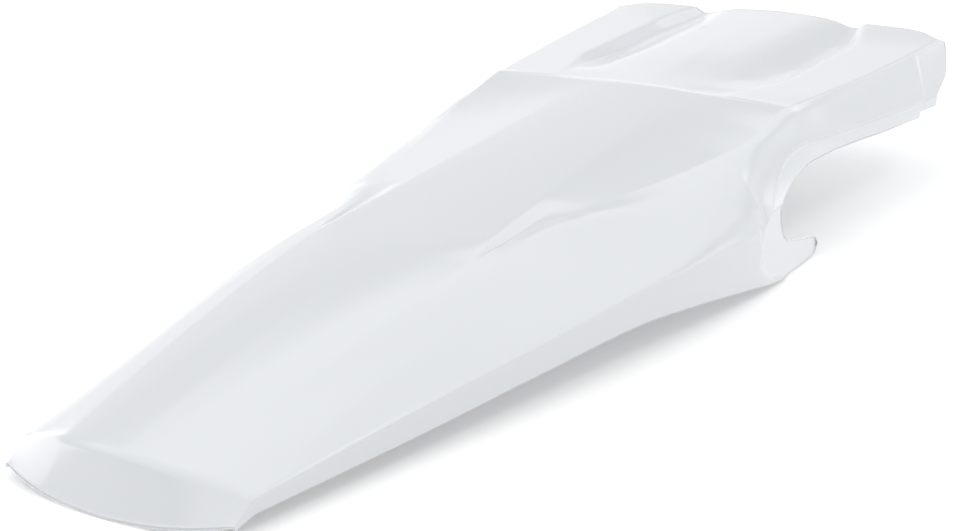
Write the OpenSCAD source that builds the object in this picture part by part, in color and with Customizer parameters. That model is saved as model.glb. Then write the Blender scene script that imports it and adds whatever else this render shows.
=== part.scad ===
// Motorcycle rear fender, one moulded shell. X runs forward, Y to the left, Z up.
// The tail lip rests on the floor at Z 0, the side hooks end just above it.
// The origin is below the middle of the length. Distances along X are from the tail end.

/* [Shell] */
// wall thickness of the moulding
wall = 2.6; // [2:0.1:3.2]
// how far the hidden side flange is stepped inward
joggle = 2.2; // [1.2:0.1:2.6]

/* [Tail] */
// half width of the tail at the end crease
tail_half = 65; // [56:0.5:74]
// height of the middle of the tail crease
tail_z = 22.5; // [18:0.5:28]
// height of the tail corners
tail_corner_z = 13; // [10:0.5:16]
// distance of the tail crease corners from the rear end
tail_x = 20; // [14:0.5:26]
// length of the crowned tail, from its crease to the tips of the raised panel
tail_length = 183; // [160:1:210]

/* [Raised centre panel] */
// length of the raised panel, from its tips to the crest
panel_length = 221; // [200:1:245]
// height of the middle line where the panel starts
root_z = 53; // [48:0.5:58]
// half width between the two tips
root_half = 45; // [38:0.5:50]
// half width of the body where the panel starts
root_body = 99.5; // [92:0.5:106]
// half width of the flat top at the crest
flat_half = 31; // [24:0.5:38]
// height of the sharp step beside each tip
tip_step = 3.2; // [1:0.1:4.5]

/* [Crest and seat shelf] */
// height of the crest in the middle
crest_z = 73.6; // [68:0.2:80]
// half width of the crest
crest_half = 90.5; // [82:0.5:98]
// how much wider the side wall is at its foot than at the crest
crest_flare = 22; // [16:0.5:26]
// length of the seat shelf ahead of the crest
shelf_length = 159; // [140:1:180]
// half width of the shelf at the front end
shelf_half = 105.5; // [98:0.5:112]
// how much wider the side wall is at its foot than at the front end
shelf_flare = 13; // [8:0.5:18]
// height of the dome at the front end above the crest
dome_rise = 3; // [1:0.2:6]
// half width of the central dome
dome_half = 49; // [44:0.5:53]
// depth of the two gutters beside the dome
gutter = 5; // [2:0.5:7]
// how far the outer pads lie below the crest
pad_drop = 2; // [0:0.2:4]

/* [Side panels] */
// how much wider the body is at the side hooks than at the crest
hook_flare = 25; // [18:0.5:31]
// height of the outer corner at the side hooks
hook_corner_z = 35; // [30:0.5:40]
// highest point of the lower edge between tail and hook
arch_z = 15.8; // [11:0.2:20]
// how far the front tip of the side hook lies behind the crest
hook_back = 10; // [4:1:18]
// how far the open notch above the hook reaches behind the crest
notch_back = 51; // [44:0.5:58]
// height of the lower side of the notch
notch_low_z = 15.5; // [12:0.5:20]
// height of the upper side of the notch
notch_top_z = 47.5; // [42:0.5:52]
// lowest height of the flange ahead of the notch
flange_z = 39; // [34:0.5:42]
// length of the stepped tab at the front end of each side
tab_length = 34; // [28:1:40]

/* [Underside screw bosses] */
// outer diameter of each blind boss
boss_d = 15; // [13:0.5:18]
// diameter of the blind hole
boss_hole_d = 6.4; // [4.2:0.1:7]
// material left above the blind hole
boss_roof = 3; // [2:0.5:5]
// spacing across of the rear pair
rear_pair = 60; // [50:1:66]
// how far the rear pair sits behind the crest
rear_pair_back = 94; // [80:1:110]
// height of the open ends of the rear pair
rear_boss_z = 44; // [38:0.5:48]
// spacing across of the front pair
front_pair = 40; // [34:1:46]
// how far the front pair sits behind the front end
front_pair_back = 38; // [28:1:48]
// height of the open ends of the front pair
front_boss_z = 54; // [46:0.5:58]

/* [Hidden] */

root_x = tail_x + tail_length;
crest_x = root_x + panel_length;
front_x = crest_x + shelf_length;
notch_x = crest_x - notch_back;
hook_tip_x = crest_x - hook_back;
hook_half = crest_half + hook_flare;
hook_in = [notch_x - 4, 0];
dome_z = crest_z + dome_rise;
pad_z = crest_z - pad_drop;
// places at a share of the tail, the panel, the run from its tips to the hook, and the shelf
function tail(k) = tail_x + k * tail_length;
function panel(k) = root_x + k * panel_length;
function run(k) = root_x + k * (hook_in[0] - root_x);
function shelf(k) = crest_x + k * shelf_length;
// the station lines fan out round the hook and the notch between these two places
wrap_a = notch_x - 28;
wrap_b = notch_x + 74;

// smooth value at x from pairs of position and value, never overshooting
function tangent(a, b, c) =
    let (d = (b[1] - a[1]) / (b[0] - a[0]), e = (c[1] - b[1]) / (c[0] - b[0]))
    d * e <= 0 ? 0 : 2 * d * e / (d + e);
function along(list, x) =
    let (n = len(list), i = max([for (j = [0:n - 2]) if (j == 0 || list[j][0] <= x) j]),
         a = list[i], b = list[i + 1], h = b[0] - a[0], t = max(0, min(1, (x - a[0]) / h)),
         m = i == 0 ? (b[1] - a[1]) / h : tangent(list[i - 1], a, b),
         k = i == n - 2 ? (b[1] - a[1]) / h : tangent(a, b, list[i + 2]))
    (2 * t ^ 3 - 3 * t ^ 2 + 1) * a[1] + (t ^ 3 - 2 * t ^ 2 + t) * h * m
    + (3 * t ^ 2 - 2 * t ^ 3) * b[1] + (t ^ 3 - t ^ 2) * h * k;
function mix(a, b, t) = a + (b - a) * t;
function ramp(a, b, x) = let (t = max(0, min(1, (x - a) / (b - a)))) t * t * (3 - 2 * t);
function unit(v) = v / max(0.0001, norm(v));

// character lines along the station s, from the tail crease to the front
mid_line = [[0, tail_z - 3.5], [tail_x - 7, tail_z], [root_x - 15, root_z],
            [panel(0.167), mix(root_z, crest_z, 0.235)], [crest_x - 6, crest_z - 0.5],
            [crest_x, crest_z], [crest_x + 5, crest_z - 0.5], [crest_x + 22, crest_z - 0.2],
            [shelf(0.478), mix(crest_z, dome_z, 0.62)], [front_x + 8, dome_z]];
function mid_z(x) = along(mid_line, x);
function body_half(s) = along([[tail_x, tail_half], [tail(0.437), mix(tail_half, root_body, 0.43)],
    [root_x, root_body], [panel(0.235), mix(root_body, hook_half, 0.53)],
    [panel(0.453), hook_half - 1.5], [panel(0.62), hook_half + 0.5], [crest_x, crest_half + crest_flare],
    [shelf(0.226), crest_half + crest_flare - 1.5], [front_x, shelf_half + shelf_flare]], s);
function corner_z(s) = along([[tail_x, tail_corner_z], [tail(0.437), mix(tail_corner_z, 28.5, 0.452)],
    [root_x, 28.5], [panel(0.226), hook_corner_z - 2.5], [panel(0.453), hook_corner_z - 0.8],
    [panel(0.62), hook_corner_z], [crest_x, hook_corner_z + 5], [front_x, flange_z + 2]], s);
function crown(s, y) = (mid_z(s) - corner_z(s))
    * pow(y / body_half(s), along([[tail_x, 2.6], [root_x, 3.1], [crest_x, 3.6]], s));
function lower_z(s) = along([[tail_x, 6.6], [tail(0.454), 9.2], [tail(0.863), arch_z - 2.5],
    [run(0.24), arch_z], [run(0.452), arch_z - 2.4], [run(0.753), 6.6], [run(0.916), 1.8],
    [run(1), 0]], s);

// how far the middle of each station line is shifted, so that creases are bowed
function bow(s) = along([[tail_x, -8], [root_x, -15], [panel(0.407), -7],
    [crest_x, 3.5], [shelf(0.377), 2], [front_x, 5]], s);
function bow_half(s) = along([[tail_x, tail_half], [root_x, root_half + 6], [crest_x, crest_half]], s);
function line_x(s, y) = s + bow(s) * (1 - min(1, pow(y / bow_half(s), 2)));

// half widths of the lines on the top
function bend_y(s) = along([[tail_x, tail_half * 0.5], [root_x, root_half],
    [root_x + 27, root_half - 3], [crest_x, flat_half], [crest_x + 16, dome_half - 4],
    [shelf(0.308), dome_half], [front_x - 35, dome_half], [front_x, dome_half - 3]], s);
function foot_y(s) = along([[tail_x, tail_half * 0.58], [root_x, root_half + 1.2],
    [root_x + 30, root_half + 2], [panel(0.362), root_half + 2.5], [crest_x, flat_half + 15],
    [crest_x + 18, dome_half + 6], [shelf(0.327), dome_half + 10], [front_x - 35, dome_half + 10],
    [front_x, dome_half + 2]], s);
function pad_y(s) = along([[tail_x, tail_half * 0.68], [root_x, root_half + 2.4],
    [panel(0.19), root_half + 4.5], [panel(0.48), root_half + 12], [crest_x, flat_half + 27],
    [crest_x + 18, dome_half + 10], [shelf(0.314), dome_half + 17], [front_x - 35, dome_half + 17],
    [front_x, dome_half + 7]], s);
function flank_y(s) = along([[tail_x, tail_half * 0.8], [tail(0.672), root_half + 12],
    [root_x, root_half + 4], [panel(0.19), root_half + 7], [panel(0.371), root_half + 18],
    [panel(0.597), mix(root_half, crest_half, 0.725)], [crest_x - 32, crest_half - 1],
    [crest_x, crest_half], [shelf(0.176), crest_half + 4], [front_x - 52, shelf_half - 2.5],
    [front_x, shelf_half]], s);
function mid_pad_y(s) = s < crest_x ? mix(pad_y(s), flank_y(s), 0.6)
    : along([[crest_x, mix(flat_half + 27, crest_half, 0.6)], [shelf(0.25), crest_half - 8],
             [front_x, shelf_half - 16]], s);

// heights of those lines
function raised(s) = ramp(root_x - 3, root_x + 26, s);
function bend_z(s, x) = s < crest_x ? mid_z(x) - mix(crown(s, bend_y(s)), 0.9, raised(s))
    : mid_z(x) - along([[crest_x, 0.9], [crest_x + 16, 1.6], [shelf(0.308), gutter + 1],
                        [shelf(0.503), gutter + 3.4], [front_x - 35, gutter + 3], [front_x, 5]], s);
function step_z(s) = tip_step * ramp(root_x, root_x + 28, s)
    * (1 - ramp(root_x + 34, panel(0.38), s));
function flank_z(s, x) = s < crest_x
    ? mid_z(x) - mix(crown(s, flank_y(s)),
        along([[panel(0.09), 3.3], [panel(0.19), 3.7], [panel(0.371), 5], [panel(0.597), 7],
               [panel(0.72), 7.3], [crest_x - 30, 5.6], [crest_x - 8, 2.8], [crest_x, 2.2]], s), raised(s))
    : along([[crest_x, crest_z - 2.2], [crest_x + 10, pad_z - 0.7], [shelf(0.377), pad_z - 0.8],
             [front_x, pad_z + 0.9]], s);
function foot_z(s, x) = s < crest_x
    ? let (z = mix(bend_z(s, x), flank_z(s, x), (foot_y(s) - bend_y(s)) / (flank_y(s) - bend_y(s))))
      mix(mid_z(x) - crown(s, foot_y(s)), min(z, bend_z(s, x) - step_z(s)), raised(s))
    : bend_z(s, x) - along([[crest_x, 0.4], [shelf(0.19), 0.6], [front_x, 0]], s);
function pad_in_z(s, x) = s < crest_x
    ? mix(mid_z(x) - crown(s, pad_y(s)),
          mix(foot_z(s, x), flank_z(s, x), (pad_y(s) - foot_y(s)) / (flank_y(s) - foot_y(s))), raised(s))
    : along([[crest_x, crest_z - 1.3], [crest_x + 12, pad_z + 0.7], [shelf(0.314), pad_z],
             [front_x - 35, pad_z + 0.8], [front_x, pad_z + 3.2]], s);

// side outline of the hook, the notch and the flange, with the joggle line beside it
function arc_corner(a, b, c, r, n) =
    let (p = b + unit(a - b) * r, q = b + unit(c - b) * r)
    [for (i = [0:n]) let (t = i / n) (1 - t) ^ 2 * p + 2 * t * (1 - t) * b + t ^ 2 * q];
heel = [hook_tip_x - 5, 0];
tip = [hook_tip_x, notch_low_z - 8];
cove_low = [notch_x, notch_low_z + 1.5];
cove_high = [notch_x, notch_top_z - 10];
brow = [notch_x + 36, notch_top_z - 0.5];
edge_end = [wrap_b, notch_top_z - 2];
edge_path = concat([hook_in], arc_corner(hook_in, heel, tip, 4, 2), arc_corner(heel, tip, cove_low, 1.2, 1),
    arc_corner(tip, cove_low, cove_high, 10, 5), arc_corner(cove_low, cove_high, brow, 7.5, 4),
    arc_corner(cove_high, brow, edge_end, 18, 3), [edge_end]);
// the step line falls down the hook on the left and follows the notch on the right
step_arc = [[notch_x - 25.5, 18], [notch_x - 21.5, 9.5], [notch_x - 13.5, 3.5], hook_in];
// how far that arc lies from a straight line down the hook, at three shares of the way
arc_shares = [0.36, 0.66, 0.86];
function arc_bend(k) = step_arc[k] - mix([wrap_a + 2, corner_z(wrap_a)], hook_in, arc_shares[k]);
joggle_in = step_arc[0] + [1, 0];
// share of the way from that step up to the flank line at which the corner begins
corner_share = (corner_z(wrap_a) - joggle_in[1]) / (flank_z(wrap_a, wrap_a) - joggle_in[1]);
joggle_turn = [notch_x - 21, 30];
joggle_over = [notch_x + 2, notch_top_z - 4.5];
joggle_level = [notch_x + 38, notch_top_z + 9];
joggle_end = [wrap_b, notch_top_z + 4.5];
joggle_path = concat([joggle_in], arc_corner(joggle_in, joggle_turn, joggle_over, 5, 2),
    arc_corner(joggle_turn, joggle_over, joggle_level, 12, 2),
    arc_corner(joggle_over, joggle_level, joggle_end, 20, 4), [joggle_end]);
function reach(path) = [for (i = 0, d = 0; i < len(path);
    d = d + (i + 1 < len(path) ? norm(path[i + 1] - path[i]) : 0), i = i + 1) d];
function sample(path, d, t) =
    let (g = max(0, min(1, t)) * d[len(d) - 1],
         i = max([for (j = [0:len(d) - 2]) if (j == 0 || d[j] <= g) j]))
    mix(path[i], path[i + 1], min(1, (g - d[i]) / max(0.001, d[i + 1] - d[i])));
edge_reach = reach(edge_path);
joggle_reach = reach(joggle_path);
function edge_share(s) = along([[wrap_a, 0], [wrap_a + 1.5, 0.01], [wrap_a + 4.5, 0.19],
    [wrap_a + 7, 0.25], [wrap_a + 14, 0.44], [wrap_a + 18.5, 0.52], [wrap_a + 23, 0.58],
    [wrap_a + 46, 0.79], [wrap_b, 1]], s);
function joggle_share(s) = along([[wrap_a, 0], [wrap_a + 1.5, 0.002], [wrap_a + 7, 0.008],
    [wrap_a + 14, 0.02], [wrap_a + 18.5, 0.06], [wrap_a + 23, 0.12], [wrap_a + 30, 0.27],
    [wrap_a + 46, 0.58], [wrap_b, 1]], s);
tab_a = front_x - tab_length - 20;
tab_b = front_x - tab_length - 12;
function edge_xz(s) =
    let (x = along([[tail_x, tail_x], [run(0.36), run(0.36)], [wrap_a, hook_in[0]]], s))
    s <= wrap_a ? [x, lower_z(x)]
    : s < wrap_b ? sample(edge_path, edge_reach, edge_share(s))
    : [along([[wrap_b, wrap_b], [tab_a, tab_a + 7], [tab_b, tab_b + 1], [front_x, front_x - 27]], s),
       along([[wrap_b, notch_top_z - 2], [tab_a, flange_z], [tab_b, flange_z + 3.5],
              [front_x, flange_z + 2.8]], s)];
function joggle_xz(s) =
    s < wrap_b ? sample(joggle_path, joggle_reach, joggle_share(s))
    : [along([[wrap_b, wrap_b], [tab_a, tab_a + 4], [front_x, front_x - 23]], s),
       along([[wrap_b, notch_top_z + 4.5], [tab_a, flange_z + 8], [front_x, flange_z + 7]], s)];

// the side wall as a height field seen from the side
function wall_y(x, z) =
    let (s = min(x, front_x), yc = body_half(s), zc = corner_z(s), yf = flank_y(s), zf = flank_z(s, s))
    z >= zc ? mix(yc, yf, (z - zc) / max(1, zf - zc)) : yc + (zc - z) * 0.07;
function on_wall(p) = [p[0], wall_y(p[0], p[1]), p[1]];
function wall_in(p) = let (d = wall_y(p[0], p[2] + 1) - wall_y(p[0], p[2] - 1)) unit([0, -2, d]);

// control points of one half section, from the middle to the lower edge
function section(s) =
    let (
        far = ramp(front_x - 60, front_x, s),
        y1 = s < crest_x ? bend_y(s) * 0.55 : along([[crest_x, flat_half * 0.55],
             [shelf(0.314), dome_half - 16], [front_x, dome_half - 17]], s),
        x1 = line_x(s, y1), x2 = line_x(s, bend_y(s)), x3 = line_x(s, foot_y(s)),
        x4 = line_x(s, pad_y(s)), x5 = line_x(s, mid_pad_y(s)) + 4 * far,
        x6 = line_x(s, flank_y(s)) - 6 * ramp(front_x - 14, front_x, s),
        v6 = [x6, flank_y(s), flank_z(s, x6)],
        e = on_wall(edge_xz(s)),
        turn = ramp(run(0.48), wrap_a, s), corner = [s + 2 * turn, corner_z(s)],
        skirt = along([[tail_x, 0], [root_x, 1]], s), low = [e[0], e[2]],
        down = [for (k = [0:2]) mix(corner, low, mix([0.58, 0.76, 0.89][k], arc_shares[k], skirt))
                                + arc_bend(k) * turn],
        j = on_wall(s <= wrap_a ? down[0] : joggle_xz(s)),
        open = ramp(wrap_a + 1.5, wrap_a + 4.5, s), g = 1.8 / max(2, norm(e - j)),
        j1 = s <= wrap_a ? down[1]
             : mix(step_arc[1] + [1.3, 0], mix([j[0], j[2]], low, g), open),
        j2 = s <= wrap_a ? down[2]
             : mix(step_arc[2] + [1.3, 0.2], mix([j[0], j[2]], low, 0.5 + g / 2), open),
        tab = ramp(front_x - 40, front_x, s),
        c = s <= wrap_a ? [corner[0], body_half(s), corner[1]]
          : let (x = mix(j[0], x6, along([[wrap_a, corner_share], [wrap_a + 14, 0.28], [wrap_a + 23, 0.2],
                                          [wrap_a + 46, 0.3], [front_x, 0.3]], s)),
                 least = along([[wrap_a, 0.1], [wrap_a + 23, 0.2], [wrap_a + 46, 0.3], [wrap_b, 0.3]], s),
                 z = mix(j[2], v6[2], max((corner_z(s) - j[2]) / (v6[2] - j[2]), least)))
            [x + 14 * tab, wall_y(x, z), z],
        k = along([[tail_x, 0.45], [root_x, 0.3], [panel(0.18), 0.12], [panel(0.475), 0.4],
                   [panel(0.73), 0.45], [crest_x, 0.5], [front_x - 50, 0.45], [front_x, 0.2]], s),
        m = mix(v6, c, k) + [9 * tab, 0, 0],
        slack = s < crest_x ? raised(s) * (1 - ramp(panel(0.18), panel(0.5), s)) : 0,
        out = s < panel(0.27) ? mid_z(m[0]) - crown(s, m[1]) : m[2],
        full = along([[panel(0.09), 2], [panel(0.36), 5.5], [panel(0.73), 5.5], [crest_x - 20, 3],
                      [crest_x + 20, 2.5], [front_x, 1]], s)
    )
    [[line_x(s, 0), 0, mid_z(line_x(s, 0))],
     [x1, y1, mid_z(x1) - (s < crest_x ? mix(crown(s, y1), 0.25, raised(s))
         : along([[crest_x, 0.25], [shelf(0.314), 0.9], [front_x, 0.9]], s))],
     [x2, bend_y(s), bend_z(s, x2)],
     [x3, foot_y(s), foot_z(s, x3)],
     [x4, pad_y(s), pad_in_z(s, x4)],
     [x5, mid_pad_y(s), s < crest_x
         ? mix(mid_z(x5) - crown(s, mid_pad_y(s)), mix(pad_in_z(s, x4), v6[2], 0.6), raised(s))
         : mix(pad_in_z(s, x5), v6[2], mix(0.6, 0.25, far))],
     v6,
     [m[0], m[1], mix(m[2] + full, out, 1 - ramp(panel(0.09), panel(0.407), s)) - 0.5 * slack],
     c, j, on_wall(j1), on_wall(j2), e];

// the flange and the front tab lie one joggle further in than the wall round them
lift = [2.5, 0, 1.5];
function controls(s) =
    let (flange = joggle * ramp(wrap_a, wrap_a + 1.5, s),
         tab = joggle * ramp(front_x - tab_length - 1.5, front_x - tab_length + 1.5, s),
         v = section(s))
    [for (k = [0:12]) v[k] + lift
        + wall_in(v[k]) * (k < 7 ? 0 : k == 7 ? 0.6 * tab : k < 10 ? tab : max(flange, tab))];

// how much of each side of a control point is rounded off
function roundness(s) =
    let (p = raised(s), q = ramp(crest_x - 4, crest_x + 12, s),
         tip = p * (1 - ramp(panel(0.18), panel(0.63), s)))
    [0.46, mix(mix(0.46, 0.12, tip), 0.42, q), mix(0.46, 0.3, tip), mix(0.46, 0.35, q), 0.46,
     mix(mix(0.46, 0.3, p), 0.16, q), mix(0.46, 0.25, ramp(front_x - 40, front_x, s)),
     along([[tail_x, 0.42], [root_x, 0.34], [wrap_a, 0.3], [wrap_a + 30, 0.4], [front_x - 40, 0.45],
            [front_x, 0.3]], s)];
steps = [1, 3, 1, 1, 0, 3, 2, 3];
function rounded(v, r) = concat([v[0]],
    [for (k = [1:8])
        let (n = steps[k - 1], a = mix(v[k], v[k - 1], r[k - 1]), b = mix(v[k], v[k + 1], r[k - 1]))
        each n == 0 ? [v[k]] : [for (i = [0:n]) let (t = i / n)
            (1 - t) ^ 2 * a + 2 * t * (1 - t) * v[k] + t ^ 2 * b]],
    [for (k = [9:12]) v[k]]);

function fan(list, d) = [for (k = list) wrap_a + k * d];
stations = concat([tail_x + 3, tail_x + 10, tail_x + 22, tail(0.22), tail(0.355), tail(0.503),
        tail(0.656), tail(0.787), root_x - 22, root_x - 9],
    [for (d = [0, 6, 13, 21, 30, 42]) root_x + d],
    [for (k = [0.2, 0.42, 0.64, 0.84]) mix(root_x + 42, wrap_a, k)],
    [for (d = [0, 1.5, 3, 4.5, 7, 10, 14, 18.5, 23, 30, 38, 46]) wrap_a + d],
    [for (k = [0.34, 0.71]) mix(wrap_a + 46, crest_x - 3.5, k)],
    [for (d = [-3.5, -1, 1.5, 5, 11, 19, 30]) crest_x + d],
    [for (k = [0.29, 0.415, 0.55]) shelf(k)],
    [tab_a, tab_a + 4, tab_b, front_x - tab_length - 2, front_x - tab_length + 2, front_x - 22,
     front_x - 10, front_x]);

// lower edge of the turned down tail lip, below each control point of the crease
function lip(p) = let (t = min(1, p[1] / tail_half))
    [(tail_x - 9.5) * t ^ 2.4, p[1] * (1 - 0.02 * t),
     6.4 * t ^ 1.7 - 0.25 * max(0, tail_corner_z + lift[2] - p[2])];
function between(a, b, t) = [for (i = [0:len(a) - 1]) mix(a[i], b[i], t)];
crease = controls(tail_x);
after = controls(tail_x + 3);
lip_low = [for (p = crease) lip(p)];
lip_high = between(lip_low, crease, 0.86);
lip_rows = [lip_low, between(lip_low, crease, 0.45), lip_high,
    [for (i = [0:12]) (lip_high[i] + 2 * crease[i] + after[i]) / 4]];
cage = concat(lip_rows, [for (s = stations) controls(s)]);
turns = concat([for (r = lip_rows) roundness(tail_x + 3)], [for (s = stations) roundness(s)]);
// rows that fan out from the hook, whose inner face keeps straight behind the outer one
fanned = concat([for (r = lip_rows) false], [for (s = stations) s > wrap_a - 1 && s < wrap_a + 24]);
R = len(cage);

// the inner face: every control point is moved in by one wall, mitred at the corners,
// and both ways where the lip meets the skirt
function ahead(i, k) = cage[min(R - 1, i + 1)][k] - cage[max(0, i - 1)][k];
function inward(i, k) = k == 0
    ? let (a = cage[i][0], b = cage[i][1], d = ahead(i, 0))
      unit(cross(a - [b[0], -b[1], b[2]], [d[0], 0, d[2]]))
    : k > 7 && fanned[i] ? wall_in((cage[i][k] + cage[i][k - 1]) / 2)
    : unit(cross(cage[i][k] - cage[i][k - 1], ahead(i, k) + ahead(i, k - 1)));
function mitre(i, k) = i < 4 && k > 7 ? [i < 3 ? 1 : 0.6, -1, k == 8 ? -0.6 : 0]
    : let (a = inward(i, k), t = unit(a + inward(i, min(12, k + 1)))) t / max(0.6, t * a);
inner_cage = [for (i = [0:R - 1]) [for (k = [0:12]) cage[i][k] + wall * mitre(i, k)]];

function whole(half) = concat([for (i = [len(half) - 1:-1:1]) half[i]], [for (p = half) [p[0], -p[1], p[2]]]);
function above_floor(row) = [for (p = row) [p[0], p[1], max(0, p[2])]];
outer = [for (i = [0:R - 1]) whole(rounded(cage[i], turns[i]))];
inner = [for (i = [0:R - 1]) above_floor(whole(rounded(inner_cage[i], turns[i])))];
C = len(outer[0]);
// first point of the inner face, and of the last row of each face
n = R * C;
front_out = n - C;
front_in = n + front_out;
function quad(p, q, r, t) = [[p, r, q], [p, t, r]];
function grid(m) =
    [for (i = [0:R - 2]) for (j = [0:C - 2]) let (p = m + i * C + j) [p, p + 1, p + C + 1, p + C]];
faces = concat(
    [for (f = grid(0)) each quad(f[0], f[1], f[2], f[3])],
    [for (f = grid(n)) each quad(f[3], f[2], f[1], f[0])],
    [for (j = [0:C - 2]) each quad(n + j, n + j + 1, j + 1, j)],
    [for (j = [0:C - 2]) each quad(front_out + j, front_out + j + 1, front_in + j + 1, front_in + j)],
    [for (i = [0:R - 2]) let (p = i * C) each quad(p, p + C, n + p + C, n + p)],
    [for (i = [0:R - 2]) let (p = i * C + C - 1) each quad(n + p, n + p + C, p + C, p)]);

module shell() {
    polyhedron([for (r = outer) each r, for (r = inner) each r], faces);
}

// height of the top of the shell at x and y
function skin_z(x, y) =
    let (v = section(x - lift[0]), k = max([for (j = [0:5]) if (j == 0 || v[j][1] <= y) j]))
    lift[2] + mix(v[k][2], v[k + 1][2], (y - v[k][1]) / (v[k + 1][1] - v[k][1]));

// blind screw boss, open at the lower end, its top sunk into the wall
module boss(x, y, z) {
    r = boss_d / 2;
    top = min([for (a = [0:30:330]) skin_z(x + r * cos(a), abs(y) + r * sin(a))]) - wall * 0.15;
    translate([x, y, z]) difference() {
        cylinder(d = boss_d, h = top - z, $fn = 28);
        translate([0, 0, -1]) cylinder(d = boss_hole_d, h = top - z + 1 - boss_roof, $fn = 24);
    }
}

// the middle of the length is put at X 0
length_x = max([for (r = concat(outer, inner)) for (p = r) p[0]]);
module rear_fender() {
    color("#eceff2") translate([-length_x / 2, 0, 0]) union() {
        shell();
        for (side = [-1, 1]) {
            boss(crest_x - rear_pair_back, side * rear_pair / 2, rear_boss_z);
            boss(front_x - front_pair_back, side * front_pair / 2, front_boss_z);
        }
    }
}

rear_fender();
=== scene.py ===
"""Looks of a motorcycle rear fender: one moulded shell with four blind screw bosses.

The shell is drawn from the same character lines as the solid part. Lengths in the classes are
millimetres, X is measured from the tail end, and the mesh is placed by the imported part's own box.
"""

import logging
import math
from dataclasses import dataclass
from enum import Enum
from typing import Sequence

import bpy
import numpy as np
from mathutils import Matrix, Vector


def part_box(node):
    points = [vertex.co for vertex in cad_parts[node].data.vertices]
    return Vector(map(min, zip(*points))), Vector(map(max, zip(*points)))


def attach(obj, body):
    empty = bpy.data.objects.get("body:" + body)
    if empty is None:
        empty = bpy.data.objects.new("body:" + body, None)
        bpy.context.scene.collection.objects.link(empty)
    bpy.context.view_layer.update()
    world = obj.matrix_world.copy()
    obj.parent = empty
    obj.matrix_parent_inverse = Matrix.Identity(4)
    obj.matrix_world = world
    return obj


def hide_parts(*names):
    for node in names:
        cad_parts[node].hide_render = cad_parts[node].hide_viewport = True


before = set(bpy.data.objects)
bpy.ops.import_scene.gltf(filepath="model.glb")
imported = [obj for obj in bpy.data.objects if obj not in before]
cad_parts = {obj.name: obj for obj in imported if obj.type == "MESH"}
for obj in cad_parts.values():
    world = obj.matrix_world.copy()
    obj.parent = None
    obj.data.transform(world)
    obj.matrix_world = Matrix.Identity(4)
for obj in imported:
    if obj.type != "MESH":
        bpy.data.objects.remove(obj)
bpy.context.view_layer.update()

LOG = logging.getLogger("rear_fender")
NODE = "rear_fender"
BODY = "root"
MM = 0.001
IOR = 1.49  # polypropylene
WHITE = (1.0, 1.0, 1.0, 1.0)
# control lines of a half section, counted from the middle
SHELF_LINE = 6  # soft flank edge, then the shelf's outer edge
CORNER_LINE = 8  # outer corner of the side wall
FLANGE_LINE = 10  # foot of the joggle

Knots = Sequence[tuple[float, float]]
Array = np.ndarray


class Face(Enum):
    """The finishes of the moulding, by their material index on the mesh."""

    SHOW = 0
    HIDDEN = 1
    # the flange's finish is painted lighter, a painted glow for light coming through its thin edge
    FLANGE = 2


def linear_colour(code: str) -> tuple[float, float, float, float]:
    """Turns an sRGB hex colour into Blender's linear one.

    Args:
        code: six hex digits with a leading #.

    Returns:
        Linear red, green and blue, with an alpha of 1.
    """
    parts = [int(code[i:i + 2], 16) / 255 for i in (1, 3, 5)]
    straight = [c / 12.92 if c <= 0.04045 else ((c + 0.055) / 1.055) ** 2.4 for c in parts]
    return (straight[0], straight[1], straight[2], 1.0)


def along(knots: Knots, x: Array) -> Array:
    """Smooth value at x from pairs of place and value, never overshooting.

    Args:
        knots: pairs of place and value, in rising order of place.
        x: places to look up.

    Returns:
        The value at each place.
    """
    place = np.array([k[0] for k in knots], float)
    value = np.array([k[1] for k in knots], float)
    gap = np.diff(place)
    rise = np.diff(value) / gap
    slope = np.empty(len(place))
    slope[0], slope[-1] = rise[0], rise[-1]
    for k in range(1, len(place) - 1):
        a, b = rise[k - 1], rise[k]
        slope[k] = 0.0 if a * b <= 0 else 2 * a * b / (a + b)
    x = np.asarray(x, float)
    i = np.clip(np.searchsorted(place, x, side="right") - 1, 0, len(gap) - 1)
    t = np.clip((x - place[i]) / gap[i], 0, 1)
    start = (2 * t ** 3 - 3 * t ** 2 + 1) * value[i] + (t ** 3 - 2 * t ** 2 + t) * gap[i] * slope[i]
    end = (3 * t ** 2 - 2 * t ** 3) * value[i + 1] + (t ** 3 - t ** 2) * gap[i] * slope[i + 1]
    return start + end


def ramp(a: float, b: float, x: Array) -> Array:
    """Smooth step from 0 at a to 1 at b."""
    t = np.clip((np.asarray(x, float) - a) / (b - a), 0, 1)
    return t * t * (3 - 2 * t)


def mix(a: Array, b: Array, t: Array) -> Array:
    """Straight blend from a to b."""
    return a + (b - a) * t


def coords(*parts: Array) -> Array:
    """Points made from their coordinates, each given for all points."""
    return np.stack(parts, -1)


def unit(v: Array) -> Array:
    """Vectors along the last axis, made one long."""
    return v / np.maximum(np.linalg.norm(v, axis=-1, keepdims=True), 1e-9)


def curve(a: Array, b: Array, c: Array, t: float) -> Array:
    """Point at t of the curve that leaves a towards b and comes to c from there."""
    return (1 - t) ** 2 * a + 2 * t * (1 - t) * b + t ** 2 * c


def rounded_turn(a: Array, b: Array, c: Array, reach: float, count: int) -> list[Array]:
    """Points of a rounded corner at b, on the way from a to c.

    Args:
        a: point before the corner.
        b: the corner.
        c: point after the corner.
        reach: how far from the corner the rounding starts.
        count: number of steps round it.

    Returns:
        The points round the corner.
    """
    p = b + unit(a - b) * reach
    q = b + unit(c - b) * reach
    steps = np.linspace(0, 1, count + 1)
    return [curve(p, b, q, t) for t in steps]


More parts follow.
